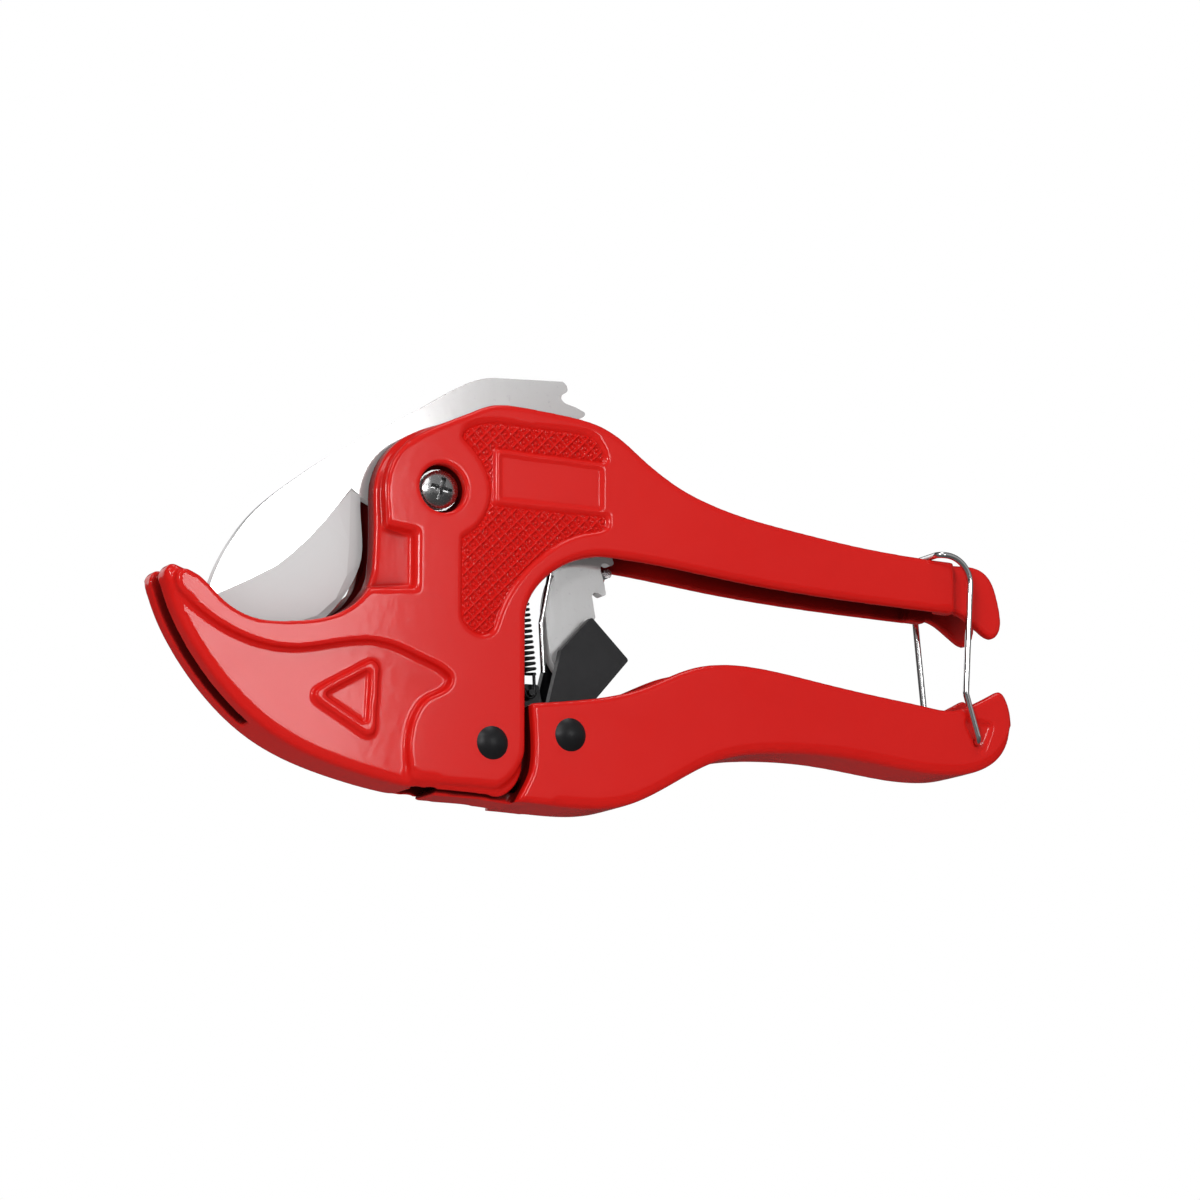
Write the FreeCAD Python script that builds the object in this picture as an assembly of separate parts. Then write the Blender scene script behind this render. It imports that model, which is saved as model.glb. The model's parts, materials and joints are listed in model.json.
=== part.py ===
"""PVC pipe cutter, ratcheting, 42 mm capacity.

Units are millimetres.  X runs along the tool from the jaw (-X) to the grips (+X),
Z is up, and Y runs across its thickness, with the screw-head side at -Y.
The origin is the blade's pivot axis, in the tool's mid-plane.
Outlines are drawn in the XZ plane and given thickness along Y.
"""
import FreeCAD, Part
import math
import os

V = FreeCAD.Vector

# Driving dimensions
BODY_HALF = 9.5          # half thickness of the raised body and of both grips
JAW_HALF = 7.5           # half thickness of the recessed jaw cheek
SLOT_HALF = 2.3          # half width of the blade slot
CAVITY_HALF = 6.0        # half width of the hollow behind the body cheeks
CHANNEL_HALF = 7.0       # half width of the channel inside both grips
BLADE_HALF = 1.5         # half thickness of the blade
EDGE_HALF = 0.1          # half thickness left at the sharpened edge
RUN = 0.06               # radial clearance of everything that turns on a pin
GAP = 0.05               # side clearance between stacked pieces

HANDLE_PIVOT = (11.6, -54.2)    # rivet that the lower handle turns on
PAWL_PIVOT = (29.8, -51.4)      # rivet that the drive pawl turns on
LATCH_HOLE = (130.0, -47.1)     # hole in the lower grip for the latch wire
STOP_PIN = (43.9, -13.4)        # pin in the far wall, beside the blade's last tooth
COIL_PIN = (18.4, -5.0)         # pin that the pawl spring hangs from
TORSION_PIN = (31.2, -6.6)      # pin inside the handle spring's coil

BRACKET_STUB = (22.8, -42.0)    # stub on the bracket that the springs act on
SPRING_Y = -3.85                # plane of the pawl spring, beside the blade

SHANK_R = 2.5            # screw and rivet shanks
RIVET_HEAD_R = 3.6
RIVET_DOME = 1.3         # how far a rivet head stands proud
BORE_R = 5.3             # counterbores round the blade screw and its nut
SEAT_Y = 5.4             # depth plane of both counterbore floors
WIRE_R = 0.7             # latch wire radius


def smooth_edges(points, longest):
    """Smooth curve through points: one edge, or short stretches if it has more than `longest` points."""
    curve = Part.BSplineCurve()
    curve.interpolate(points)
    if len(points) <= longest:
        return [curve.toShape()]
    knots = curve.getKnots()
    cuts = knots[:-1:3] + knots[-1:]
    edges = []
    for first, last in zip(cuts, cuts[1:]):
        stretch = curve.copy()
        stretch.segment(first, last)
        edges.append(stretch.toShape())
    return edges


def outline(*runs, longest=100):
    """Close a wire from runs of points: two points make a line, more make a smooth curve."""
    edges = []
    for run in runs:
        points = [V(x, 0, z) for x, z in run]
        if len(points) == 2:
            edges.append(Part.makeLine(points[0], points[1]))
        else:
            edges += smooth_edges(points, longest)
    return Part.Wire(edges)


def polygon(*points):
    """Closed wire of straight lines."""
    corners = [V(x, 0, z) for x, z in points]
    return Part.makePolygon(corners + corners[:1])


def slab(wire, low, high):
    """Solid between two Y planes."""
    face = Part.Face(wire)
    face.translate(V(0, low, 0))
    return face.extrude(V(0, high - low, 0))


def rounded_slab(wire, half, radius, first_x=-100, last_x=200, top_z=100):
    """Solid centred on the mid-plane; rims whose centres lie within the given limits are rounded."""
    body = slab(wire, -half, half)
    rims = []
    for edge in body.Edges:
        centre = edge.CenterOfMass
        on_side = abs(abs(centre.y) - half) < 1e-3
        if on_side and first_x < centre.x < last_x and centre.z < top_z:
            rims.append(edge)
    return body.makeFillet(radius, rims)


def disc(centre, radius, low, high):
    """Cylinder along Y round a point of the XZ plane."""
    return Part.makeCylinder(radius, high - low, V(centre[0], low, centre[1]), V(0, 1, 0))


def ring(centre, inner, outer, low, high):
    """Washer along Y."""
    return disc(centre, outer, low, high).cut(disc(centre, inner, low - 1, high + 1))


def mirrored(shape):
    """Copy of a shape on the other side of the mid-plane."""
    return shape.mirror(V(0, 0, 0), V(0, 1, 0))


def both_sides(shape):
    """A shape and its mirror image, as one shape."""
    return shape.fuse(mirrored(shape))


def rounded(wire_points, radius):
    """Closed wire through corners, each rounded by an arc of the given radius."""
    count = len(wire_points)
    pts = [V(x, 0, z) for x, z in wire_points]
    edges = []
    ends = []
    for i in range(count):
        before = (pts[i - 1] - pts[i]).normalize()
        after = (pts[(i + 1) % count] - pts[i]).normalize()
        half_angle = before.getAngle(after) / 2
        reach = radius / math.tan(half_angle)
        start = pts[i] + before * reach
        end = pts[i] + after * reach
        middle_dir = (before + after).normalize()
        middle = pts[i] + middle_dir * (radius / math.sin(half_angle) - radius)
        edges.append(Part.Arc(start, middle, end).toShape())
        ends.append((start, end))
    joined = []
    for i in range(count):
        joined.append(edges[i])
        joined.append(Part.makeLine(ends[i][1], ends[(i + 1) % count][0]))
    return Part.Wire(joined)


def bent_rod(points, radius, bends):
    """Round rod along a path of straight lengths joined by bends: one radius, or one per corner."""
    pts = [V(*p) for p in points]
    if not isinstance(bends, list):
        bends = [bends] * (len(pts) - 2)
    edges = []
    start = pts[0]
    for i in range(1, len(pts) - 1):
        bend = bends[i - 1]
        before = (pts[i - 1] - pts[i]).normalize()
        after = (pts[i + 1] - pts[i]).normalize()
        half_angle = before.getAngle(after) / 2
        reach = bend / math.tan(half_angle)
        enter = pts[i] + before * reach
        leave = pts[i] + after * reach
        middle_dir = (before + after).normalize()
        middle = pts[i] + middle_dir * (bend / math.sin(half_angle) - bend)
        edges.append(Part.makeLine(start, enter))
        edges.append(Part.Arc(enter, middle, leave).toShape())
        start = leave
    edges.append(Part.makeLine(start, pts[-1]))
    path = Part.Wire(edges)
    section = Part.Wire(Part.makeCircle(radius, pts[0], (pts[1] - pts[0]).normalize()))
    return path.makePipeShell([section], True, False)


# ---------------------------------------------------------------- frame casting
MOUTH = [(-58.4, -20.9), (-54.5, -22.9), (-49.5, -27.5), (-44.5, -30.4), (-39.5, -31.4),
         (-34.5, -31.2), (-24.5, -29.2), (-19.8, -26.5), (-16.9, -23.6), (-15.3, -20.2), (-14.8, -16.5)]
JAW_BACK = [(8, -60), (-2, -64.4), (-8.6, -63.9), (-18.6, -61.8), (-28.6, -58.8), (-38.4, -54),
            (-48.8, -45), (-53.6, -39), (-58.2, -31.5), (-60.9, -24.5)]
WINDOW = [(19.6, -27), (21, -21.8), (25, -17), (30, -13.8), (35, -12.2), (41, -11.9)]


def jaw_and_cheek():
    """Recessed level: the curved jaw and the left edge of the body."""
    return rounded_slab(outline(
        MOUTH,
        [(-14.8, -16.5), (-14.6, -12), (-14.6, -6), (-14.7, -1), (-13.9, 2.9), (-12.1, 6.6),
         (-9.2, 9.9), (-5.2, 12.4), (4.5, 16)],
        [(4.5, 16), (12, 8)],
        [(12, 8), (8, -60)],
        JAW_BACK,
        [(-60.9, -24.5), (-61.1, -21.8), (-59.9, -20.6), (-58.4, -20.9)],
    ), JAW_HALF, 1.0, last_x=5)


def body_and_grip():
    """Raised level: the mouth rim, the body and the upper grip."""
    return rounded_slab(outline(
        [(-56.7, -22), (-54.3, -23.2), (-49.5, -27.5), (-44.5, -30.4), (-39.5, -31.4),
         (-34.5, -31.2), (-24.5, -29.2), (-19.8, -26.5), (-16.4, -22.6)],
        [(-16.4, -22.6), (-6.3, -21.8)],
        [(-6.3, -21.8), (-6.3, -10.2)],
        [(-6.3, -10.2), (-12.6, -9.4)],
        [(-12.6, -9.4), (-12.9, -4), (-12.7, 1.5), (-9.9, 7.6), (-5, 11.6), (1.5, 14.9), (7, 17.4),
         (11, 19.1), (14.5, 19.6), (22, 19.2), (31, 18.3), (37.7, 16.8), (42.8, 14.1), (47.5, 10.5),
         (52, 7.4), (57, 4.6), (63, 2.2), (70, 0.2), (85, -2.5), (100, -4.6), (112, -5.7), (125, -6.4)],
        [(125, -6.4), (125.2, -18.1)],
        [(125.2, -18.1), (110, -17.5), (90, -16.5), (70, -14.8), (50, -12.5), (41, -11.9)],
        WINDOW[::-1],
        [(19.6, -27), (19.6, -54)],
        [(19.6, -54), (19.2, -57), (18, -59.5), (16, -62), (13, -63.8)],
        [(13, -63.8), (-6.4, -63.4)],
        [(-6.4, -63.4), (-7.4, -56), (-6.3, -50), (-3, -45.4), (1.6, -42.6), (2.2, -41), (0.6, -39.2),
         (-5, -36.8), (-10, -34.9), (-15, -34), (-25, -35.3), (-32, -36.6), (-40, -36.3),
         (-46, -34.6), (-52, -31.6), (-57.4, -27.4)],
        [(-57.4, -27.4), (-59.3, -25.2), (-59.5, -23.2), (-58.5, -22), (-56.7, -22)],
        longest=18,
    ), BODY_HALF, 1.5, first_x=-20, last_x=120, top_z=-9.6)


def cheek_flange():
    """Recessed rim of the body's lower corner, inside the sweep of the lower handle's end."""
    return slab(outline(
        [(-2, -60), (-2, -64.3)],
        [(-2, -64.3), (11.6, -64.9)],
        [(11.6, -64.9), (15.2, -65), (17.2, -63.6), (18.5, -61.8), (19.4, -59.4)],
        [(19.4, -59.4), (19.4, -50)],
        [(19.4, -50), (-2, -60)],
    ), -JAW_HALF, JAW_HALF)


def grip_lobes():
    """Two thin lobes at the end of the upper grip, inset so that the latch wire has a groove."""
    return rounded_slab(outline(
        [(112, -7), (122, -6.9), (128.5, -6.6), (132.9, -7.2), (135.4, -9.2), (137.1, -13.2),
         (138, -17.6), (137.5, -21.3), (135.9, -22.8), (133.4, -21.9), (129.6, -19.2), (124, -17.6)],
        [(124, -17.6), (112, -16.6)],
        [(112, -16.6), (112, -7)],
    ), JAW_HALF, 0.7)


def blade_slot():
    """Slot that the blade swings in, open through the jaw's tip and the body's top."""
    return slab(outline(
        [(-80, 45), (-80, -75)],
        [(-80, -75), (-46, -75)],
        [(-46, -75), (-40.6, -51.6)],
        [(-40.6, -51.6), (-36.8, -46.2)],
        [(-36.8, -46.2), (-30, -48.2), (-20, -51.8), (-10, -54.4), (0, -55.6)],
        [(0, -55.6), (18, -55.6)],
        [(18, -55.6), (47, -30)],
        [(47, -30), (47, 4)],
        [(47, 4), (43, 12)],
        [(43, 12), (43, 45)],
        [(43, 45), (-80, 45)],
    ), -SLOT_HALF, SLOT_HALF)


def body_cavity():
    """Hollow behind the body cheeks, open at the window and below."""
    return slab(polygon(
        (-4.5, -75), (-4.5, -58), (3, -44), (7, -28), (12.5, -14), (12.5, 8), (17, 14.5),
        (36, 12.5), (47, 4), (47, -30), (30, -40), (30, -75),
    ), -CAVITY_HALF, CAVITY_HALF)


def grip_channel():
    """Channel inside the upper grip, open below, with an open end between the lobes."""
    roof = [(36, 12.2), (41, 10.6), (47, 6.2), (54, 1.8), (62, -1.4), (72, -3.9), (85, -6), (100, -7.9),
            (121, -9.4)]
    wide = slab(outline(
        roof,
        [(121, -9.4), (121, -30)],
        [(121, -30), (36, -30)],
        [(36, -30), (36, 12.2)],
        longest=4,
    ), -CHANNEL_HALF, CHANNEL_HALF)
    lobe_inner = JAW_HALF - 2.5
    narrow = slab(polygon((120, -9.4), (126, -9.4), (126, 0), (145, 0), (145, -30), (120, -30)),
                  -lobe_inner, lobe_inner)
    return wide.fuse(narrow)


PANEL_FLOOR = BODY_HALF - 0.9
LABEL = [(12.1, 9.5), (38.5, 8.6), (38.5, -2.8), (12.1, -2.4)]


def panel_pocket():
    """Shallow pocket in one cheek for the grip pattern, without the label plate in it."""
    pocket = slab(outline(
        [(4.3, 11.2), (4.7, 12.6), (9.6, 15.3), (12.7, 15.7)],
        [(12.7, 15.7), (33, 15.1)],
        [(33, 15.1), (36.6, 13.4), (38.4, 10)],
        [(38.4, 10), (39, -3.6)],
        [(39, -3.6), (38.4, -5.8), (35, -7), (30, -8.6), (25, -11.6), (20, -15.9), (15.6, -21.6),
         (12.7, -28.2)],
        [(12.7, -28.2), (9.6, -31.2), (5.6, -29.6), (4.3, -26.8)],
        [(4.3, -26.8), (4.3, -10)],
        [(4.3, -10), (9.3, -5.6), (10.9, 0.6), (8.9, 6.3), (4.3, 11.2)],
    ), -BODY_HALF - 1, -PANEL_FLOOR)
    plate = slab(polygon(*LABEL), -BODY_HALF - 2, 0)
    dish = slab(polygon(
        (13.1, 8.5), (37.5, 7.7), (37.5, -1.8), (13.1, -1.4),
    ), -BODY_HALF - 1, -BODY_HALF + 0.35)
    return pocket.cut(plate).fuse(dish)


def triangle_ridge():
    """Plain raised triangle on one jaw cheek."""
    outer = slab(rounded([(-30.0, -46.2), (-13.8, -37.0), (-14.8, -55.2)], 1.6),
                 -JAW_HALF - 1.0, -JAW_HALF + 0.5)
    inner = slab(rounded([(-26.6, -46.0), (-15.7, -39.8), (-16.3, -52.0)], 0.8),
                 -JAW_HALF - 2, -JAW_HALF)
    return outer.cut(inner)


def stop_pin_boss():
    """Lug on the far wall's lower edge that holds the stop pin."""
    x, z = STOP_PIN
    root = slab(polygon((x - 2.6, z + 2.6), (x + 2.6, z + 2.6), (x + 2, z), (x - 2, z)),
                CHANNEL_HALF, BODY_HALF - 0.8)
    return root.fuse(disc(STOP_PIN, 2.0, CHANNEL_HALF, BODY_HALF - 0.8))


def frame_casting():
    """One casting: jaw, body and upper grip."""
    solid = jaw_and_cheek().fuse(body_and_grip()).fuse(grip_lobes()).fuse(cheek_flange())
    solid = solid.fuse(both_sides(triangle_ridge()))
    for tool in (blade_slot(), body_cavity(), grip_channel(), both_sides(panel_pocket())):
        solid = solid.cut(tool)
    counterbore = disc((0, 0), BORE_R, -BODY_HALF - 1, -SEAT_Y)
    solid = solid.cut(both_sides(counterbore))
    solid = solid.cut(disc((0, 0), SHANK_R, -20, 20))
    solid = solid.cut(disc(HANDLE_PIVOT, SHANK_R, -20, 20))
    solid = solid.fuse(stop_pin_boss())
    for pin in (blade_stop_pin(), coil_anchor_pin(), torsion_spring_pin()):
        solid = solid.cut(pin)
    return solid


# ---------------------------------------------------------------- blade group
def tooth_edge():
    """Ratchet teeth with rounded tips, undercut gullets and long slopes, from the top one down."""
    pitch = 9.03
    growth = 0.55
    profile = [(0, 0), (0.6, 0.7), (1.7, 0.6), (2.6, 1.1), (2.8, 2.5), (2.4, 3.9), (1.0, 6.4), (0.4, 7.8)]
    points = [(31.4, 27.85), (32.2, 27.3)]
    for i in range(8):
        for inward, turn in profile:
            radius = 42.0 + growth * (i + turn / pitch) - inward
            angle = math.radians(39.0 - pitch * i - turn)
            points.append((radius * math.cos(angle), radius * math.sin(angle)))
    return points[:-3]


def blade():
    """Ground steel blade with its ratchet tail."""
    teeth = tooth_edge()
    back = [(-49.8, -25.4), (-47.9, -19.5), (-44.6, -13.4), (-40.9, -8.3), (-37.1, -4.4), (-31.3, 0.3),
            (-25.5, 4.6), (-19.7, 8.3), (-13.8, 11.8), (-5.9, 16.5), (0.1, 20.1), (10.7, 26.1), (15, 27.1)]
    edge = [(-15.4, -1.9), (-15.1, -8), (-15, -14.7), (-16.3, -18.8), (-19.4, -24), (-23.2, -28.4),
            (-28, -31.8), (-34, -33.6), (-41, -33.6), (-47, -30.7), (-49.8, -25.4)]
    runs = [
        back,
        [(15, 27.1), teeth[0]],
        teeth,
        [teeth[-1], (39.4, -24)],
        [(39.4, -24), (37.6, -27.6), (35.6, -31.6), (33, -35), (30.6, -36.6)],
        [(30.6, -36.6), (29.4, -35), (28, -29), (27.5, -23.3), (28.2, -18.6), (29.4, -15.6)],
        [(29.4, -15.6), (20, -13.2), (10, -13.2), (0, -12.4), (-7, -8), (-12.6, -3.2)],
        [(-12.6, -3.2), (-15.4, -1.9)],
        edge,
    ]
    plate = slab(outline(*runs, longest=18), -BLADE_HALF, BLADE_HALF)
    grind = bevel_cutter()
    plate = plate.cut(grind).cut(mirrored(grind))
    return plate.cut(disc((0, 0), BUSH_R, -5, 5))


def bevel_cutter():
    """Material ground off one side: a wide shallow bevel, then a steep one along the edge."""
    grind_line = [(-53, -28), (-47.5, -25.1), (-40.8, -21.7), (-34.6, -18.2), (-31, -15.2), (-27.4, -11.7),
                  (-23.8, -7.6), (-21.2, -4.3), (-18, -0.1)]
    steep_line = [(-52.5, -30), (-48.3, -29.2), (-41, -31.6), (-32.6, -30.8), (-25.2, -28.2), (-21, -24.2),
                  (-18.6, -19), (-18.1, -12), (-17.9, -0.3)]
    edge_line = [(-53.5, -33), (-49.8, -31.8), (-41, -34.8), (-31.5, -34.2), (-23, -29.4), (-18.9, -24.7),
                 (-15.8, -19.4), (-14.5, -15), (-14.6, -2.5)]
    steep_y = -BLADE_HALF + 0.5
    rows = []
    for (gx, gz), (sx, sz), (ex, ez) in zip(grind_line, steep_line, edge_line):
        rows.append([V(gx, -BLADE_HALF, gz), V(sx, steep_y, sz), V(ex, -EDGE_HALF, ez), V(ex, -4, ez),
                     V(gx, -4, gz)])
    faces = []
    for row, following in zip(rows, rows[1:]):
        for i in range(5):
            k = (i + 1) % 5
            faces.append(triangle(row[i], row[k], following[k]))
            faces.append(triangle(row[i], following[k], following[i]))
    for ground, steep, edge, edge_outside, ground_outside in (rows[0], rows[-1]):
        faces.append(triangle(ground, steep, edge))
        faces.append(triangle(ground, edge, edge_outside))
        faces.append(triangle(ground, edge_outside, ground_outside))
    return Part.makeSolid(Part.makeShell(faces))


def triangle(first, second, third):
    """Flat face on three points."""
    return Part.Face(Part.makePolygon([first, second, third, first]))


BUSH_R = 4.4


def blade_bush():
    """Sleeve pressed in the blade, running on the screw."""
    return ring((0, 0), SHANK_R + RUN, BUSH_R, -BLADE_HALF, BLADE_HALF)


# ---------------------------------------------------------------- pivot fasteners
def blade_screw():
    """Pan-head screw with a cross recess."""
    seat = SEAT_Y + 0.8
    head_r = 4.15
    head = disc((0, 0), head_r, -seat - 1.1, -seat)
    crown_r = 7.2
    crown_depth = 1.5
    centre_y = -seat - 1.1 - crown_depth + crown_r
    crown = Part.makeSphere(crown_r, V(0, centre_y, 0))
    head = head.fuse(disc((0, 0), head_r, -seat - 4, -seat - 1.1).common(crown))
    arm = Part.makeBox(5.0, 3.2, 1.1, V(-2.5, -seat - 4.0, -0.55))
    cross = arm.fuse(arm.copy().rotate(V(0, 0, 0), V(0, 1, 0), 90))
    tip = Part.makeCone(1.3, 0.4, 1.0, V(0, -seat - 1.2, 0), V(0, 1, 0))
    cross.rotate(V(0, 0, 0), V(0, 1, 0), 12)
    shank = disc((0, 0), SHANK_R, -seat - 0.5, BODY_HALF - 0.1)
    return head.fuse(shank).cut(cross).cut(tip)


def blade_nut():
    """Hexagon nut in the far counterbore."""
    across_flats = 8.0
    corner = across_flats / 2 / math.cos(math.radians(30))
    points = []
    for i in range(6):
        angle = math.radians(60 * i)
        points.append((corner * math.cos(angle), corner * math.sin(angle)))
    low = SEAT_Y + 0.8
    nut = slab(polygon(*points), low, BODY_HALF - 0.2)
    chamfer = Part.makeCone(corner + 1.6, corner - 0.3, 3.1, V(0, low, 0), V(0, 1, 0))
    return nut.common(chamfer).cut(disc((0, 0), SHANK_R, 0, 20))


def spring_washer():
    """Split washer under the screw head."""
    washer = ring((0, 0), SHANK_R, 4.5, -SEAT_Y - 0.8, -SEAT_Y)
    return washer.cut(Part.makeBox(3, 3, 0.8, V(2, -SEAT_Y - 2, -0.4)))


def nut_washer():
    """Flat washer under the nut."""
    return ring((0, 0), SHANK_R, 4.8, SEAT_Y, SEAT_Y + 0.8)


def blade_washer():
    """Thrust washer between the near cheek and the blade."""
    return ring((0, 0), SHANK_R, 8.0, -SLOT_HALF, -BLADE_HALF - GAP)


def domed_rivet(centre, reach):
    """Rivet with a domed head at each end."""
    shank = disc(centre, SHANK_R, -reach - 0.2, reach + 0.2)
    dome_r = (RIVET_HEAD_R ** 2 + RIVET_DOME ** 2) / (2 * RIVET_DOME)
    sphere = Part.makeSphere(dome_r, V(centre[0], -reach - RIVET_DOME + dome_r, centre[1]))
    head = disc(centre, RIVET_HEAD_R + 1, -reach - 4, -reach).common(sphere)
    return shank.fuse(both_sides(head))


# ---------------------------------------------------------------- lower handle group
def grip_bowl():
    """Outside of the lower grip."""
    return rounded_slab(outline(
        [(20.9, -45), (30, -43.9), (40, -42.2), (46, -40.5), (53, -37.5), (60, -34.7), (68, -33.5),
         (78, -34), (90, -35.8), (105, -38), (118, -39.7), (124, -40.1), (128, -39), (132, -37.2),
         (135.2, -35.5)],
        [(135.2, -35.5), (136.7, -35.2), (137.9, -36.6), (139.1, -40.4), (139, -45.4), (136.4, -50.2),
         (131.4, -53.3), (125, -54.6), (116, -54.5), (104, -53.1), (92, -52.1), (80, -52.3),
         (72, -53.2), (66, -54.8), (58, -58.7), (50, -63.2), (43, -66), (36, -67), (28, -66.9),
         (17.6, -66.4)],
        [(17.6, -66.4), (19.4, -63.1), (20.9, -59.9), (21.4, -57), (21.4, -51.4)],
        [(21.4, -51.4), (20.9, -45)],
    ), BODY_HALF, 1.0, first_x=21.5)


def grip_hollow():
    """Channel inside the lower grip, open above and at the end."""
    return slab(outline(
        [(23.2, -20), (23.2, -63.2)],
        [(23.2, -63.2), (30, -63.8), (37, -63.9), (43, -62.8), (50, -60), (58, -55.6), (66, -51.9),
         (72, -50.4), (80, -49.5), (92, -49.3), (104, -50.3), (116, -51.6), (126, -51.4), (136, -47.5),
         (146, -42)],
        [(146, -42), (146, -20)],
        [(146, -20), (23.2, -20)],
        longest=4,
    ), -CHANNEL_HALF, CHANNEL_HALF)


EAR_LOW = 3.0
EAR_HIGH = 5.2


def pivot_ear():
    """Near ear that carries the lower handle on its rivet, inside the frame's cheeks."""
    x, z = HANDLE_PIVOT
    boss_r = 6.4
    arm = slab(polygon((x, z + boss_r), (21.5, -46.4), (21.5, -61), (x, z - boss_r)), -EAR_HIGH, -EAR_LOW)
    return arm.fuse(disc(HANDLE_PIVOT, boss_r, -EAR_HIGH, -EAR_LOW))


def pivot_web():
    """Bottom wall that carries on under the pivot, between the frame's cheeks."""
    return slab(polygon((0.2, -64), (24, -64), (24, -66.6), (17.5, -66.5), (10.5, -65.8), (-0.3, -65.5)),
                -EAR_HIGH, EAR_HIGH)


def lower_handle():
    """One casting: the lower grip with its two pivot ears and the web under them."""
    solid = grip_bowl().cut(grip_hollow()).fuse(pivot_web())
    solid = solid.cut(slab(polygon((10, -20), (24, -20), (24, -60), (10, -60)), -EAR_LOW, EAR_LOW))
    solid = solid.fuse(both_sides(pivot_ear()))
    thumb = slab(rounded([(126.2, -41.4), (134.6, -42.6), (131.2, -50.6)], 1.0), -BODY_HALF - 1,
                 -BODY_HALF + 0.5)
    solid = solid.cut(both_sides(thumb))
    solid = solid.cut(disc(HANDLE_PIVOT, SHANK_R + RUN, -20, 20))
    solid = solid.cut(disc(PAWL_PIVOT, SHANK_R, -20, 20))
    return solid.cut(disc(LATCH_HOLE, WIRE_R + RUN, -20, 20))


PAWL_IN = 2.6
PAWL_OUT = 4.5


def drive_pawl():
    """Folded steel pawl: two wings either side of the blade's tail, joined by one web."""
    x, z = PAWL_PIVOT
    wing = slab(rounded([(37.1, -24.5), (46, -33.4), (38, -42.6), (35.8, -47), (35.4, -57), (25.4, -57),
                         (26.2, -47), (29.9, -32.2)], 0.6), -PAWL_OUT, -PAWL_IN)
    wing = wing.cut(disc((x, z), SHANK_R + RUN, -20, 20))
    web = slab(polygon((40.2, -27.95), (45.3, -32.75), (44.2, -33.9), (39.1, -29.1)),
               -PAWL_OUT + 0.1, PAWL_OUT - 0.1)
    return both_sides(wing).fuse(web)


def pawl_spacer():
    """Spacer between one pawl wing and the grip's near wall."""
    return ring(PAWL_PIVOT, SHANK_R, 4.8, -CHANNEL_HALF, -PAWL_OUT - GAP)


def pivot_washer():
    """Washer between the near ear and the frame's cheek."""
    return ring(HANDLE_PIVOT, SHANK_R, 5.6, -CAVITY_HALF, -EAR_HIGH - GAP)


def spring_bracket():
    """Bent steel plate on the pawl rivet, with a stub that the springs act on."""
    high = -BLADE_HALF - 0.15
    low = high - 0.9
    arm = slab(rounded([(21.6, -39.9), (25.4, -39.9), (26.6, -46), (33, -50), (33, -55), (25.5, -55),
                        (22.4, -46)], 0.7), low, high)
    arm = arm.cut(disc(PAWL_PIVOT, SHANK_R, -20, 20))
    return arm.fuse(disc(BRACKET_STUB, 0.7, SPRING_Y - 1.2, high - 0.3))


# ---------------------------------------------------------------- springs, pins and latch
def helix_rod(mean_r, wire_r, length, turns):
    """Coil of round wire along +Z, starting at +X."""
    helix = Part.makeHelix(length / turns, length, mean_r)
    section = Part.Wire(Part.makeCircle(wire_r, V(mean_r, 0, 0), V(0, 1, 0)))
    return Part.Wire(helix).makePipeShell([section], True, True)


def hook(pin, pin_r, towards, wire_r):
    """Half loop of wire round a pin, with a straight tail towards a point of the spring's axis."""
    loop_r = pin_r + wire_r + 0.02
    px, pz = pin
    reach = math.hypot(towards[0] - px, towards[1] - pz)
    ux, uz = (towards[0] - px) / reach, (towards[1] - pz) / reach
    side_a = V(px - uz * loop_r, 0, pz + ux * loop_r)
    side_b = V(px + uz * loop_r, 0, pz - ux * loop_r)
    back = V(px - ux * loop_r, 0, pz - uz * loop_r)
    start = side_a + V(ux, 0, uz) * 0.8
    end = V(towards[0] + uz * loop_r, 0, towards[1] - ux * loop_r)
    path = Part.Wire([Part.makeLine(start, side_a), Part.Arc(side_a, back, side_b).toShape(),
                      Part.makeLine(side_b, end)])
    section = Part.Wire(Part.makeCircle(wire_r, start, V(ux, 0, uz)))
    return path.makePipeShell([section], True, False)


def pawl_spring():
    """Extension spring from the near cheek's pin to the bracket's stub, hooked at both ends."""
    wire_r = 0.35
    mean_r = 1.45
    low = (22.5, -38.0)
    high = (19.2, -11.2)
    length = math.hypot(high[0] - low[0], high[1] - low[1])
    body = helix_rod(mean_r, wire_r, length, 23)
    tilt = math.degrees(math.atan2(high[0] - low[0], high[1] - low[1]))
    body.rotate(V(0, 0, 0), V(0, 1, 0), tilt)
    body.translate(V(low[0], 0, low[1]))
    ends = [hook(BRACKET_STUB, 0.7, (22.6, -37.8), wire_r), hook(COIL_PIN, 1.0, (19.2, -11.6), wire_r)]
    spring = body.multiFuse(ends)
    spring.translate(V(0, SPRING_Y, 0))
    return spring


def handle_spring():
    """Torsion spring: a coil on its pin, one leg along the grip and one down to the bracket."""
    x, z = TORSION_PIN
    mean_r = 2.2
    wire_r = 0.55
    inner_y = -2.5
    leg = bent_rod([(x - mean_r, inner_y, z), (28.0, inner_y, -15.6), (25.9, inner_y, -26.4),
                    (26.5, inner_y, -37.2)], wire_r, 2.0)
    turns = helix_rod(mean_r, wire_r, 2.9, 2.5)
    turns.rotate(V(0, 0, 0), V(1, 0, 0), -90)
    turns.rotate(V(0, 0, 0), V(0, 1, 0), 180)
    turns.translate(V(x, inner_y - 2.9, z))
    arm = Part.makeCylinder(wire_r, 13, V(x, inner_y - 2.9, z + mean_r), V(1, 0, -0.12))
    return turns.multiFuse([leg, arm])


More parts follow.
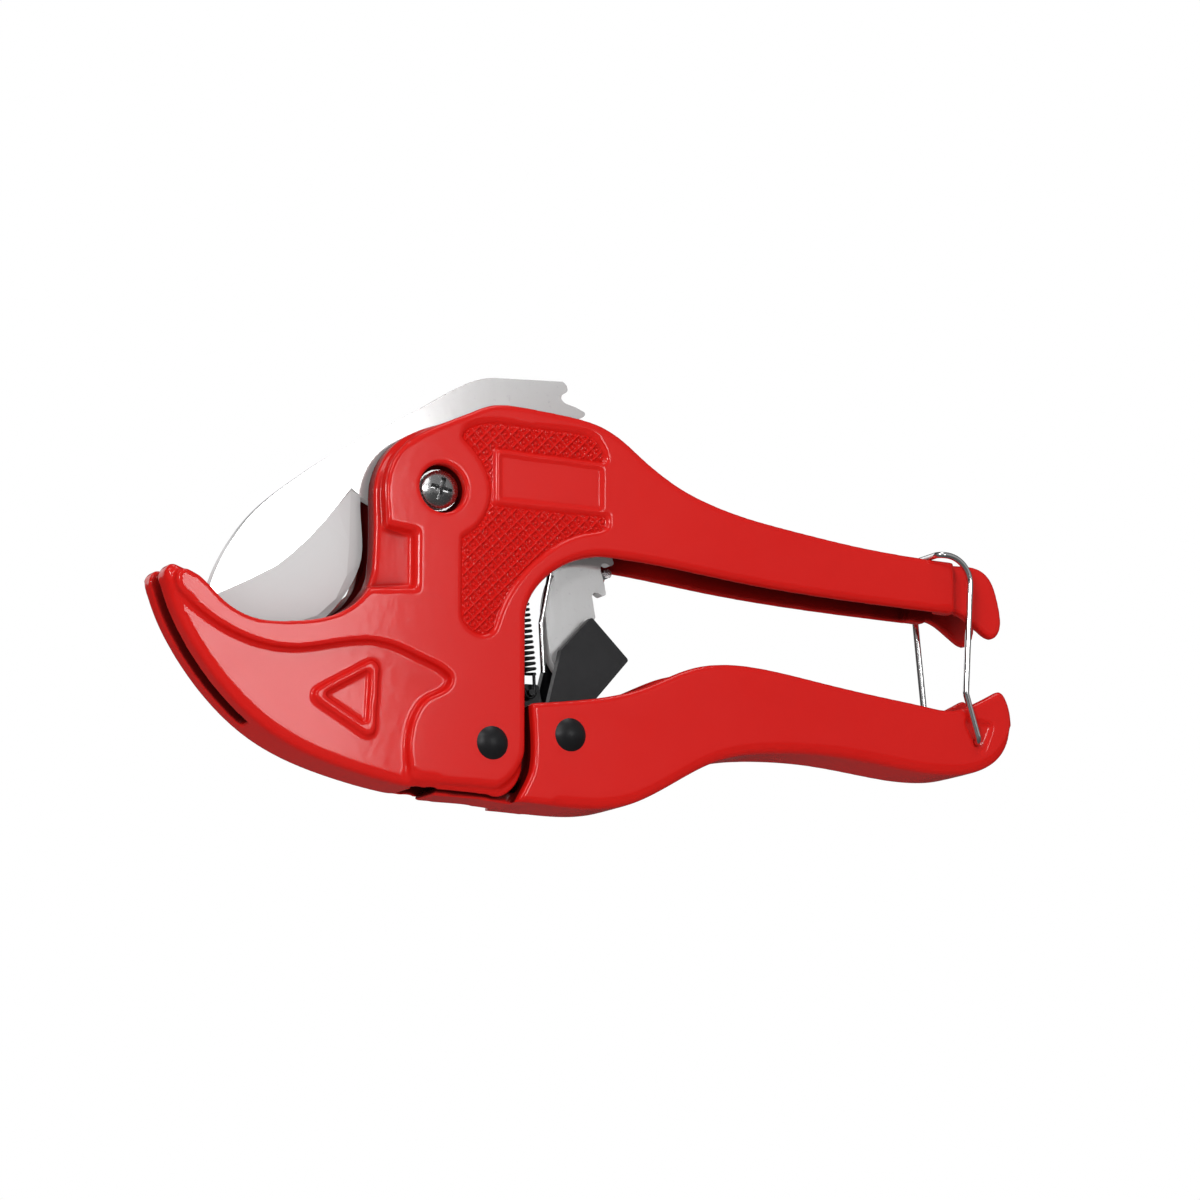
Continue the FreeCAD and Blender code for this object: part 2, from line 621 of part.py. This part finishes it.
def latch_wire():
    """Wire bail: hooked in both walls of the lower grip, over the upper grip's end."""
    x, z = LATCH_HOLE
    bar_x = 119.6
    bar_z = -5.4
    near = [(bar_x, -11.6, bar_z), (127.9, -11.7, bar_z - 0.2), (126.5, -10.9, -36.4), (x, -10.5, z),
            (x, -7.6, z)]
    far = [(bar_x, 11.4, bar_z), (125.2, 11.4, bar_z - 0.1), (127.9, 10.9, -36.4), (x, 10.5, z),
           (x, 7.6, z)]
    return bent_rod(far[::-1] + near, WIRE_R, [1.35, 2.5, 3.5, 1.5, 1.5, 6.2, 2.5, 1.35])


PIN_SEAT = BODY_HALF - 1.5       # how deep the stub pins are set in the cheeks
PIN_NOSE = BLADE_HALF + 0.4      # where they end, beside the blade


def blade_stop_pin():
    """Stub pin in the far wall."""
    return disc(STOP_PIN, 1.0, PIN_NOSE, PIN_SEAT)


def coil_anchor_pin():
    """Stub pin in the near cheek that the pawl spring hooks on."""
    return disc(COIL_PIN, 1.0, -PIN_SEAT, -PIN_NOSE)


def torsion_spring_pin():
    """Stub pin in the near cheek, inside the handle spring's coil."""
    return disc(TORSION_PIN, 1.5, -PIN_SEAT, -PIN_NOSE)


NODES = {
    "frame_casting": frame_casting,
    "blade": blade,
    "blade_bush": blade_bush,
    "blade_screw": blade_screw,
    "spring_washer": spring_washer,
    "near_blade_washer": blade_washer,
    "far_blade_washer": lambda: mirrored(blade_washer()),
    "nut_washer": nut_washer,
    "blade_nut": blade_nut,
    "handle_rivet": lambda: domed_rivet(HANDLE_PIVOT, BODY_HALF),
    "near_pivot_washer": pivot_washer,
    "far_pivot_washer": lambda: mirrored(pivot_washer()),
    "blade_stop_pin": blade_stop_pin,
    "coil_anchor_pin": coil_anchor_pin,
    "torsion_spring_pin": torsion_spring_pin,
    "lower_handle": lower_handle,
    "pawl_rivet": lambda: domed_rivet(PAWL_PIVOT, BODY_HALF),
    "near_pawl_spacer": pawl_spacer,
    "far_pawl_spacer": lambda: mirrored(pawl_spacer()),
    "spring_bracket": spring_bracket,
    "drive_pawl": drive_pawl,
    "pawl_spring": pawl_spring,
    "handle_spring": handle_spring,
    "latch_wire": latch_wire,
}


def main():
    """Write every piece to its own file."""
    os.makedirs("parts", exist_ok=True)
    for name, make in NODES.items():
        shape = make()
        if len(shape.Solids) == 1:
            shape = shape.Solids[0]
        box = shape.BoundBox
        print(f"{name:22s} valid={shape.isValid()} solids={len(shape.Solids)} volume={shape.Volume:9.1f}"
              f" x {box.XMin:.1f}..{box.XMax:.1f} z {box.ZMin:.1f}..{box.ZMax:.1f}")
        shape.exportStep(f"parts/{name}.step")


main()
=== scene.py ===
"""Looks of the PVC pipe cutter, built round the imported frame. Lengths are in metres."""

import json
import math

import bmesh
import bpy
import numpy as np
from mathutils import Matrix, Vector
from mathutils.bvhtree import BVHTree


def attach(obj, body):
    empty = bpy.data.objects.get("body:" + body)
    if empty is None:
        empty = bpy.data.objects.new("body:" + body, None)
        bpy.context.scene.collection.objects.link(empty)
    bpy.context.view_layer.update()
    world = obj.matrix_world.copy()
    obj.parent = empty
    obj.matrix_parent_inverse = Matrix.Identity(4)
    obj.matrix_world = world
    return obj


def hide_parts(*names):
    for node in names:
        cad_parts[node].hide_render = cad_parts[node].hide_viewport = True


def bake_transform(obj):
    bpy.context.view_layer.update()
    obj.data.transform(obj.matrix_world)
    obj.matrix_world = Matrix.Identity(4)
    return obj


MM = 0.001
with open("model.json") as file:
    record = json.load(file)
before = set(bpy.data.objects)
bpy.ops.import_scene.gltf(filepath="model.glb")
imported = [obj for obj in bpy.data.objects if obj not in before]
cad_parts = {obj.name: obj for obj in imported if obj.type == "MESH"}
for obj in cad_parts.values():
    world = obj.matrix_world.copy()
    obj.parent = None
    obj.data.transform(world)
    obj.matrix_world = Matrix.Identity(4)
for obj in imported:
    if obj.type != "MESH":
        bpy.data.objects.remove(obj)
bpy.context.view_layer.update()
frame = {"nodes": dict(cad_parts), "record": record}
NODES = frame["nodes"]

# Distances of the casting's flat faces from the mid-plane
JAW_HALF = 7.5 * MM
POCKET_HALF = 8.6 * MM
LABEL_HALF = 9.15 * MM
BODY_HALF = 9.5 * MM


# ---------------------------------------------------------------- node helpers
class Shader:
    """Small helper that builds one node material."""

    def __init__(self, name):
        self.material = bpy.data.materials.new(name)
        self.material.use_nodes = True
        self.tree = self.material.node_tree
        self.bsdf = self.tree.nodes["Principled BSDF"]
        self.coords = self.add("ShaderNodeTexCoord").outputs["Object"]

    def add(self, kind, **settings):
        node = self.tree.nodes.new(kind)
        for key, value in settings.items():
            setattr(node, key, value)
        return node

    def link(self, source, target):
        self.tree.links.new(source, target)

    def set(self, **values):
        for key, value in values.items():
            self.bsdf.inputs[key.replace("_", " ")].default_value = value

    def stretched(self, scale, rotation=(0, 0, 0)):
        mapping = self.add("ShaderNodeMapping")
        mapping.inputs["Scale"].default_value = scale
        mapping.inputs["Rotation"].default_value = rotation
        self.link(self.coords, mapping.inputs["Vector"])
        return mapping.outputs["Vector"]

    def noise(self, scale, detail=2.0, roughness=0.5, vector=None):
        node = self.add("ShaderNodeTexNoise")
        node.inputs["Scale"].default_value = scale
        node.inputs["Detail"].default_value = detail
        node.inputs["Roughness"].default_value = roughness
        self.link(vector or self.coords, node.inputs["Vector"])
        return node.outputs["Fac"]

    def ramp(self, value, low, high, out_low, out_high):
        node = self.add("ShaderNodeMapRange")
        node.inputs["From Min"].default_value = low
        node.inputs["From Max"].default_value = high
        node.inputs["To Min"].default_value = out_low
        node.inputs["To Max"].default_value = out_high
        self.link(value, node.inputs["Value"])
        return node.outputs["Result"]

    def blend_colours(self, factor, first, second):
        node = self.add("ShaderNodeMix", data_type="RGBA")
        node.inputs["A"].default_value = (*first, 1)
        node.inputs["B"].default_value = (*second, 1)
        self.link(factor, node.inputs["Factor"])
        return node.outputs["Result"]

    def bump(self, heights):
        """Adds (height socket, distance in metres) pairs as one bump chain."""
        normal = None
        for height, distance in heights:
            node = self.add("ShaderNodeBump")
            node.inputs["Strength"].default_value = 1.0
            node.inputs["Distance"].default_value = distance
            self.link(height, node.inputs["Height"])
            if normal:
                self.link(normal, node.inputs["Normal"])
            normal = node.outputs["Normal"]
        self.link(normal, self.bsdf.inputs["Normal"])
        return normal


def open_to_light(s):
    """Factor that is 0 deep inside a casting's hollows and 1 on its outer faces; it places the painted
    shade.
    """
    hollow_reach = 16 * MM
    inner_y = JAW_HALF - 0.4 * MM
    outer_y = JAW_HALF - 0.1 * MM
    hollow = s.add("ShaderNodeAmbientOcclusion", samples=8)
    hollow.inputs["Distance"].default_value = hollow_reach
    split = s.add("ShaderNodeSeparateXYZ")
    s.link(s.coords, split.inputs["Vector"])
    off_middle = s.add("ShaderNodeMath", operation="ABSOLUTE")
    s.link(split.outputs["Y"], off_middle.inputs[0])
    openness = s.add("ShaderNodeMath", operation="MAXIMUM")
    s.link(s.ramp(hollow.outputs["AO"], 0.60, 0.92, 0.0, 1.0), openness.inputs[0])
    s.link(s.ramp(off_middle.outputs[0], inner_y, outer_y, 0.0, 1.0), openness.inputs[1])
    return openness.outputs[0]


def red_paint():
    """Glossy red powder coat with a faint orange peel, with painted shade: dark and with little gloss
    in the castings' hollows.
    """
    s = Shader("red_paint")
    paint = s.blend_colours(s.noise(28, 3), (0.70, 0.009, 0.007), (0.75, 0.014, 0.010))
    openness = open_to_light(s)
    # Painted shade: the red is mixed to a near black red (0.08, 0.003, 0.003) in the hollows and on the
    # inner faces.
    painted_shade_mix = s.add("ShaderNodeMix", data_type="RGBA")
    painted_shade_mix.inputs["A"].default_value = (0.08, 0.003, 0.003, 1)
    s.link(paint, painted_shade_mix.inputs["B"])
    s.link(openness, painted_shade_mix.inputs["Factor"])
    s.link(painted_shade_mix.outputs["Result"], s.bsdf.inputs["Base Color"])
    s.link(s.ramp(s.noise(160, 3), 0.3, 0.7, 0.20, 0.27), s.bsdf.inputs["Roughness"])
    # Painted shade: less coat and specular gloss in the hollows.
    s.link(s.ramp(openness, 0, 1, 0.0, 0.34), s.bsdf.inputs["Coat Weight"])
    s.link(s.ramp(openness, 0, 1, 0.03, 0.10), s.bsdf.inputs["Specular IOR Level"])
    s.set(Coat_Roughness=0.08, Coat_IOR=1.5)
    normal = s.bump([(s.noise(420, 2), 0.000012), (s.noise(2600, 1), 0.0000015)])
    s.link(normal, s.bsdf.inputs["Coat Normal"])
    return s.material


def metal(name, light, dark, roughness, stretch=(60, 60, 60)):
    """Bare or plated metal with a fine grain."""
    s = Shader(name)
    grain = s.noise(40, 4, 0.6, s.stretched(stretch))
    smoothest = roughness * 0.75
    roughest = roughness * 1.3
    s.link(s.blend_colours(s.noise(90, 3), dark, light), s.bsdf.inputs["Base Color"])
    s.link(s.ramp(grain, 0.3, 0.7, smoothest, roughest), s.bsdf.inputs["Roughness"])
    s.set(Metallic=1.0)
    s.bump([(grain, 0.000002)])
    return s.material


def blade_steel():
    """Polished flanks with faint stains, and a dull wide bevel with grinding lines."""
    s = Shader("blade_steel")
    geometry = s.add("ShaderNodeNewGeometry")
    split = s.add("ShaderNodeSeparateXYZ")
    s.link(geometry.outputs["True Normal"], split.inputs["Vector"])
    facing = s.add("ShaderNodeMath", operation="ABSOLUTE")
    s.link(split.outputs["Y"], facing.inputs[0])
    flank = s.ramp(facing.outputs[0], 0.9995, 0.9999, 0.0, 1.0)
    flank_or_wide_bevel = s.ramp(facing.outputs[0], 0.970, 0.985, 0.0, 1.0)
    extra_roughness = 0.36
    lines = s.noise(60, 4, 0.65, s.stretched((60, 60, 2.5), (0, math.radians(35), 0)))
    stains = s.ramp(s.noise(620, 4, 0.7), 0.60, 0.72, 0.0, 1.0)
    polished = s.blend_colours(stains, (0.70, 0.70, 0.70), (0.58, 0.58, 0.59))
    base = s.add("ShaderNodeMix", data_type="RGBA")
    base.inputs["A"].default_value = (0.77, 0.77, 0.77, 1)
    s.link(polished, base.inputs["B"])
    s.link(flank, base.inputs["Factor"])
    s.link(base.outputs["Result"], s.bsdf.inputs["Base Color"])
    wide_bevel = s.add("ShaderNodeMath", operation="SUBTRACT", use_clamp=True)
    s.link(flank_or_wide_bevel, wide_bevel.inputs[0])
    s.link(flank, wide_bevel.inputs[1])
    dull = s.add("ShaderNodeMath", operation="MULTIPLY_ADD")
    s.link(wide_bevel.outputs[0], dull.inputs[0])
    dull.inputs[1].default_value = extra_roughness
    s.link(s.ramp(lines, 0.3, 0.7, 0.12, 0.17), dull.inputs[2])
    s.link(dull.outputs[0], s.bsdf.inputs["Roughness"])
    s.link(s.ramp(flank, 0, 1, 0.08, 0.5), s.bsdf.inputs["Metallic"])
    s.link(s.ramp(flank, 0, 1, 0.05, 0.2), s.bsdf.inputs["Specular IOR Level"])
    s.bump([(lines, 0.0000008)])
    return s.material


def black_oxide(name, roughness):
    """Black oxide steel with a fine grain."""
    s = Shader(name)
    grain = s.noise(900, 3, 0.6)
    smoothest = roughness * 0.85
    roughest = roughness * 1.2
    black = s.blend_colours(s.noise(120, 3), (0.010, 0.010, 0.011), (0.020, 0.020, 0.022))
    s.link(black, s.bsdf.inputs["Base Color"])
    s.link(s.ramp(grain, 0.3, 0.7, smoothest, roughest), s.bsdf.inputs["Roughness"])
    s.set(Metallic=0.25, Specular_IOR_Level=0.3)
    s.bump([(grain, 0.000006)])
    return s.material


MATERIALS = {
    "red_paint": red_paint(),
    "blade_steel": blade_steel(),
    "bright_steel": metal("bright_steel", (0.66, 0.66, 0.67), (0.5, 0.5, 0.51), 0.28),
    "screw_steel": metal("screw_steel", (0.50, 0.50, 0.50), (0.26, 0.26, 0.265), 0.24),
    "black_steel": black_oxide("black_steel", 0.36),
    "black_spring": black_oxide("black_spring", 0.30),
    "nickel_wire": metal("nickel_wire", (0.86, 0.86, 0.86), (0.74, 0.74, 0.75), 0.10, (8, 8, 1)),
}


def paint_cad_nodes():
    """Gives every CAD node the material of its slot."""
    for row in frame["record"]["subparts"]:
        mesh = NODES[row["node"]].data
        mesh.materials.clear()
        mesh.materials.append(MATERIALS[row["material_slot"]])


def as_piece(name, mesh, slot):
    """New object from a mesh, with the finish of a material slot."""
    piece = bpy.data.objects.new(name, mesh)
    bpy.context.scene.collection.objects.link(piece)
    mesh.materials.clear()
    mesh.materials.append(MATERIALS[slot])
    return piece


# ---------------------------------------------------------------- castings
VOXEL = 0.4 * MM
BASE_PASSES = 3
RIM_START_Y = 3.5 * MM
RIM_HEIGHT = 3.5 * MM


def welded(mesh):
    """Joins the mesh's duplicate vertices."""
    work = bmesh.new()
    work.from_mesh(mesh)
    bmesh.ops.remove_doubles(work, verts=work.verts, dist=0.002 * MM)
    work.to_mesh(mesh)
    work.free()


def cast_surface(node, extra_passes):
    """Copy of a CAD casting, with the soft edges and inner corners that a casting has."""
    piece = as_piece(node + "_cast", NODES[node].data.copy(), "red_paint")
    welded(piece.data)
    remesh = piece.modifiers.new("skin", "REMESH")
    remesh.mode = "VOXEL"
    remesh.voxel_size = VOXEL
    remesh.use_smooth_shade = True
    depsgraph = bpy.context.evaluated_depsgraph_get()
    mesh = bpy.data.meshes.new_from_object(piece.evaluated_get(depsgraph))
    piece.modifiers.clear()
    piece.data = mesh
    soften(mesh, extra_passes)
    mesh.materials.clear()
    mesh.materials.append(MATERIALS["red_paint"])
    mesh.shade_smooth()
    return piece


def soften(mesh, extra_passes):
    """Moves each vertex towards its neighbours, in as many passes as its place asks for."""
    step = 0.5
    count = len(mesh.vertices)
    points = np.empty(count * 3, np.float32)
    mesh.vertices.foreach_get("co", points)
    points = points.reshape(-1, 3).astype(float)
    ends = np.empty(len(mesh.edges) * 2, np.int32)
    mesh.edges.foreach_get("vertices", ends)
    ends = ends.reshape(-1, 2)
    both = np.concatenate([ends, ends[:, ::-1]])
    degree = np.bincount(both[:, 0], minlength=count).astype(float)
    passes = BASE_PASSES + extra_passes(points)
    for i in range(int(passes.max())):
        sums = [np.bincount(both[:, 0], points[both[:, 1], axis], count) for axis in range(3)]
        means = np.stack(sums, 1) / degree[:, None]
        active = (passes > i)[:, None]
        points = np.where(active, points + step * (means - points), points)
    flatten_sides(points)
    mesh.vertices.foreach_set("co", points.astype(np.float32).ravel())
    mesh.update()


def flatten_sides(points):
    """Moves vertices that nearly lie on one of the casting's flat faces onto it."""
    reach = 0.10
    fade = 0.06
    depth = np.abs(points[:, 1])
    for plane in (JAW_HALF, POCKET_HALF, LABEL_HALF, BODY_HALF):
        off = np.abs(depth - plane) / MM
        pull = np.clip((reach - off) / fade, 0, 1)
        depth = depth + pull * (plane - depth)
    points[:, 1] = np.sign(points[:, 1]) * depth


def column_height(points, upwards):
    """Depth of each point below the top (or above the bottom) of its 1 mm wide column."""
    cells = np.round(points[:, 0] / MM).astype(int)
    cells -= cells.min()
    side = 1 if upwards else -1
    limit = np.full(cells.max() + 1, -np.inf)
    np.maximum.at(limit, cells, side * points[:, 2])
    return limit[cells] - side * points[:, 2]


def frame_rims(points):
    """Extra passes for the jaw's underside and tip, the top of body and grip, and the grip's end."""
    jaw_passes = 22
    top_passes = 10
    tip_passes = 4
    x = points[:, 0]
    depth = np.abs(points[:, 1])
    low = column_height(points, False) < RIM_HEIGHT
    high = column_height(points, True) < RIM_HEIGHT
    jaw = low & (depth > RIM_START_Y) & (x < 0)
    top = high & (depth > 5 * MM) & (x > -8 * MM) & (x < 122 * MM)
    end = (depth > JAW_HALF + 0.2 * MM) & (x > 121 * MM) & (x < 127 * MM)
    tip = x < -55 * MM
    return jaw_passes * jaw + top_passes * (top | end) + tip_passes * tip


def grip_rims(points):
    """Extra passes for the lower grip's underside, which is the roundest edge of all."""
    low_passes = 36
    low_height = 4 * MM
    low = column_height(points, False) < low_height
    outer = np.abs(points[:, 1]) > RIM_START_Y
    right_of_ears = points[:, 0] > 26 * MM
    return low_passes * (low & outer & right_of_ears)


def tilt_left_level(mesh):
    """Slopes the recessed level left of the body down towards the mouth, as a draft."""
    left_x = -20 * MM
    right_x = -6.3 * MM
    low_z = -22.4 * MM
    high_z = 14 * MM
    slope = 0.13
    inner_y = 5 * MM
    full_y = 8.4 * MM
    step_y = 8.9 * MM
    step_fade = 0.2 * MM
    for vertex in mesh.vertices:
        x, y, z = vertex.co
        if left_x < x < right_x and low_z < z < high_z:
            depth = abs(y)
            outer = min(max((depth - inner_y) / (full_y - inner_y), 0), 1)
            below_step = min(max((step_y - depth) / step_fade, 0), 1)
            drop = outer * below_step * slope * (right_x - x)
            vertex.co.y = math.copysign(depth - drop, y)
    mesh.update()


def build_castings():
    """Both red castings."""
    frame_piece = cast_surface("frame_casting", frame_rims)
    tilt_left_level(frame_piece.data)
    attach(frame_piece, "frame")
    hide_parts("frame_casting")
    handle_piece = cast_surface("lower_handle", grip_rims)
    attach(handle_piece, "handle")
    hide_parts("lower_handle")


def build_pawl():
    """The folded pawl with broken edges."""
    edge_width = 0.3 * MM
    smallest_angle = math.radians(40)
    piece = as_piece("drive_pawl_edges", NODES["drive_pawl"].data.copy(), "black_steel")
    welded(piece.data)
    bevel = piece.modifiers.new("edges", "BEVEL")
    bevel.width = edge_width
    bevel.segments = 2
    bevel.limit_method = "ANGLE"
    bevel.angle_limit = smallest_angle
    piece.data.shade_flat()
    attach(piece, "pawl")
    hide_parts("drive_pawl")


# ---------------------------------------------------------------- grip pattern
def ray_depths(node, xs, zs):
    """Distance of the node's near surface from the mid-plane, on a grid of X and Z."""
    mesh = NODES[node].data
    corners = [vertex.co for vertex in mesh.vertices]
    tree = BVHTree.FromPolygons(corners, [face.vertices for face in mesh.polygons])
    start_y = -20 * MM
    inwards = Vector((0, 1, 0))
    depths = np.zeros((len(xs), len(zs)))
    for i, x in enumerate(xs):
        for k, z in enumerate(zs):
            hit = tree.ray_cast(Vector((x, start_y, z)), inwards)[0]
            depths[i, k] = -hit.y if hit else 0.0
    return depths


def diamond_pattern(x, z):
    """Height from 0 to 1 of the raised diamond lattice with a dot in each diamond."""
    pitch = 2.05 * MM
    half_line = 0.34 * MM
    line_height = 1.2
    dot_r = 0.48 * MM
    dot_height = 0.9
    u = ((x + z) / math.sqrt(2) / pitch) % 1.0
    v = ((x - z) / math.sqrt(2) / pitch) % 1.0
    to_line = np.minimum(np.minimum(u, 1 - u), np.minimum(v, 1 - v)) * pitch
    line = np.clip(line_height - to_line / half_line, 0, 1)
    to_dot = np.hypot(u - 0.5, v - 0.5) * pitch
    dot = dot_height * np.sqrt(np.clip(1 - (to_dot / dot_r) ** 2, 0, 1))
    return np.maximum(line, dot)


def plate_mesh(name, keep, xs, zs, top, bottom):
    """Closed plate over the kept grid cells, from y = -bottom to the y = -top surface."""
    used = np.argwhere(keep)
    count = len(used)
    index = -np.ones(keep.shape, int)
    index[tuple(used.T)] = np.arange(count)
    used_x = xs[used[:, 0]]
    used_z = zs[used[:, 1]]
    used_y = -top[tuple(used.T)]
    points = list(zip(used_x, used_y, used_z))
    points += [(x, -bottom, z) for x, z in zip(used_x, used_z)]
    corners = np.stack([index[:-1, :-1], index[1:, :-1], index[1:, 1:], index[:-1, 1:]], -1)
    cells = corners[(corners >= 0).all(-1)].tolist()
    faces = [tuple(cell) for cell in cells]
    faces += [tuple(count + corner for corner in reversed(cell)) for cell in cells]
    rim = {}
    for cell in cells:
        for a, b in zip(cell, cell[1:] + cell[:1]):
            if (b, a) in rim:
                del rim[(b, a)]
            else:
                rim[(a, b)] = True
    faces += [(b, a, count + a, count + b) for a, b in rim]
    mesh = bpy.data.meshes.new(name)
    mesh.from_pydata(points, [], faces)
    mesh.update()
    return mesh


def build_grip_patterns():
    """Raised lattice on the floor of the pocket in each cheek."""
    step = 0.15 * MM
    margin_cells = 4
    base = POCKET_HALF + 0.06 * MM
    bottom = POCKET_HALF - 0.4 * MM
    raised = 0.70 * MM
    tolerance = 0.03 * MM
    seed = (20 * MM, -8 * MM)
    xs = np.arange(3 * MM, 40.5 * MM, step)
    zs = np.arange(-32.5 * MM, 17 * MM, step)
    depths = ray_depths("frame_casting", xs, zs)
    pocket = connected(np.abs(depths - POCKET_HALF) < tolerance, xs, zs, seed)
    grown = pocket.copy()
    shrunk = pocket.copy()
    for _ in range(margin_cells):
        grown = spread(grown)
        shrunk = ~spread(~shrunk)
    grid_x, grid_z = np.meshgrid(xs, zs, indexing="ij")
    top = base + raised * diamond_pattern(grid_x, grid_z) * blurred(shrunk)
    top[~pocket] = base
    near = plate_mesh("grip_pattern_near", grown, xs, zs, top, bottom)
    far = near.copy()
    far.transform(Matrix.Scale(-1, 4, (0, 1, 0)))
    far.flip_normals()
    for name, mesh in (("grip_pattern_near", near), ("grip_pattern_far", far)):
        piece = as_piece(name, mesh, "red_paint")
        mesh.shade_smooth()
        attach(piece, "frame")


def connected(mask, xs, zs, seed):
    """Part of the mask that is joined to the cell at the seed point."""
    region = np.zeros_like(mask)
    region[np.abs(xs - seed[0]).argmin(), np.abs(zs - seed[1]).argmin()] = True
    steps_per_test = 20
    size = 0
    while region.sum() > size:
        size = region.sum()
        for _ in range(steps_per_test):
            region = spread(region) & mask
    return region


def neighbours(padded):
    """Five views of a padded grid: each cell itself, then the cells left, right, below and above."""
    return [padded[1:-1, 1:-1], padded[:-2, 1:-1], padded[2:, 1:-1], padded[1:-1, :-2],
            padded[1:-1, 2:]]


def spread(mask):
    """Mask grown by one cell."""
    return np.any(neighbours(np.pad(mask, 1)), axis=0)


def blurred(mask):
    """Mask with a soft edge."""
    soft = mask.astype(float)
    for _ in range(3):
        soft = np.mean(neighbours(np.pad(soft, 1, mode="edge")), axis=0)
    return soft


# ---------------------------------------------------------------- springs
def build_springs():
    """Both springs between the frame and the lower handle, as smooth-shaded copies of their CAD nodes.
    """
    for node, slot, high_z, low_z in (
            ("pawl_spring", "black_spring", -18 * MM, -44 * MM),
            ("handle_spring", "nickel_wire", -15 * MM, -73 * MM)):
        mesh = NODES[node].data.copy()
        piece = as_piece(node + "_wire", mesh, slot)
        mesh.shade_smooth()
        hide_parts(node)
        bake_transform(piece)


# ---------------------------------------------------------------- stage
def build_floor():
    """Pale floor well below the object, which looks darker in its reflections."""
    reach = 6.0
    height = -0.20
    corners = [(-reach, -reach, height), (reach, -reach, height), (reach, reach, height),
               (-reach, reach, height)]
    mesh = bpy.data.meshes.new("floor")
    mesh.from_pydata(corners, [], [(0, 1, 2, 3)])
    floor = bpy.data.objects.new("floor", mesh)
    bpy.context.scene.collection.objects.link(floor)
    s = Shader("floor")
    s.set(Roughness=0.7)
    glossy_ray = s.add("ShaderNodeLightPath").outputs["Is Glossy Ray"]
    colour = s.blend_colours(glossy_ray, (0.86, 0.86, 0.86), (0.10, 0.10, 0.10))
    s.link(colour, s.bsdf.inputs["Base Color"])
    mesh.materials.append(s.material)


def mixed(tree, factor, first, second):
    """Socket that goes from first to second with the factor; each is a number or a socket."""
    node = tree.nodes.new("ShaderNodeMix")
    tree.links.new(factor, node.inputs["Factor"])
    for name, value in (("A", first), ("B", second)):
        if isinstance(value, float):
            node.inputs[name].default_value = value
        else:
            tree.links.new(value, node.inputs[name])
    return node.outputs["Result"]


def build_world():
    """White studio: bright to the camera, dim as a lamp, and darker towards the back in reflections."""
    camera_strength = 1.0
    lamp_strength = 0.26
    world = bpy.data.worlds.new("studio")
    bpy.context.scene.world = world
    world.use_nodes = True
    tree = world.node_tree
    background = tree.nodes["Background"]
    background.inputs["Color"].default_value = (1, 1, 1, 1)
    ray = tree.nodes.new("ShaderNodeLightPath").outputs
    direction = tree.nodes.new("ShaderNodeTexCoord").outputs["Generated"]
    split = tree.nodes.new("ShaderNodeSeparateXYZ")
    tree.links.new(direction, split.inputs["Vector"])
    fade = tree.nodes.new("ShaderNodeMapRange")
    for name, value in (("From Min", -0.6), ("From Max", 0.1), ("To Min", 0.36), ("To Max", 0.06)):
        fade.inputs[name].default_value = value
    tree.links.new(split.outputs["Y"], fade.inputs["Value"])
    unseen = mixed(tree, ray["Is Glossy Ray"], lamp_strength, fade.outputs["Result"])
    strength = mixed(tree, ray["Is Camera Ray"], unseen, camera_strength)
    tree.links.new(strength, background.inputs["Strength"])


def build_lamps():
    """Square soft lamps round the object; each has a direction, a size and a power in watts."""
    distance = 1.2
    target = Vector((0.037, 0, -0.02))
    for name, direction, size, power in (
            ("key", (0.26, -1.0, 0.18), 0.20, 1.5),
            ("upper_left", (-0.9, -1.0, 1.0), 0.40, 3.0),
            ("left", (-0.62, -0.76, 0.20), 0.18, 3.2),
            ("lower_left", (-0.25, -0.85, -0.42), 0.14, 1.3),
            ("lower", (0.35, -0.61, -0.71), 0.18, 2.5),
            ("top", (0.1, -0.25, 1.0), 0.5, 3.0),
            ("back", (-0.4, 1.0, 0.5), 0.8, 2.0)):
        light = bpy.data.lights.new(name, "AREA")
        light.shape = "SQUARE"
        light.size = size
        light.energy = power
        lamp = bpy.data.objects.new(name, light)
        bpy.context.scene.collection.objects.link(lamp)
        lamp.location = target + Vector(direction).normalized() * distance
        aim = (target - lamp.location).to_track_quat("-Z", "Y")
        lamp.rotation_euler = aim.to_euler()


def build_camera():
    """Long lens, from the lower left of the near side."""
    azimuth = math.radians(-25)
    elevation = math.radians(-10)
    distance = 0.9117
    target = Vector((0.037, -0.009, -0.0215))
    level = math.cos(elevation)
    back = Vector((math.sin(azimuth) * level, -math.cos(azimuth) * level, math.sin(elevation)))
    data = bpy.data.cameras.new("camera")
    data.sensor_width = 36
    data.lens = 126.6
    data.clip_end = 50
    camera = bpy.data.objects.new("camera", data)
    bpy.context.scene.collection.objects.link(camera)
    camera.location = target + back * distance
    camera.rotation_euler = (-back).to_track_quat("-Z", "Y").to_euler()
    bpy.context.scene.camera = camera


bpy.context.scene.view_settings.view_transform = "Standard"
paint_cad_nodes()
build_castings()
build_pawl()
build_grip_patterns()
build_springs()
build_floor()
build_world()
build_lamps()
build_camera()
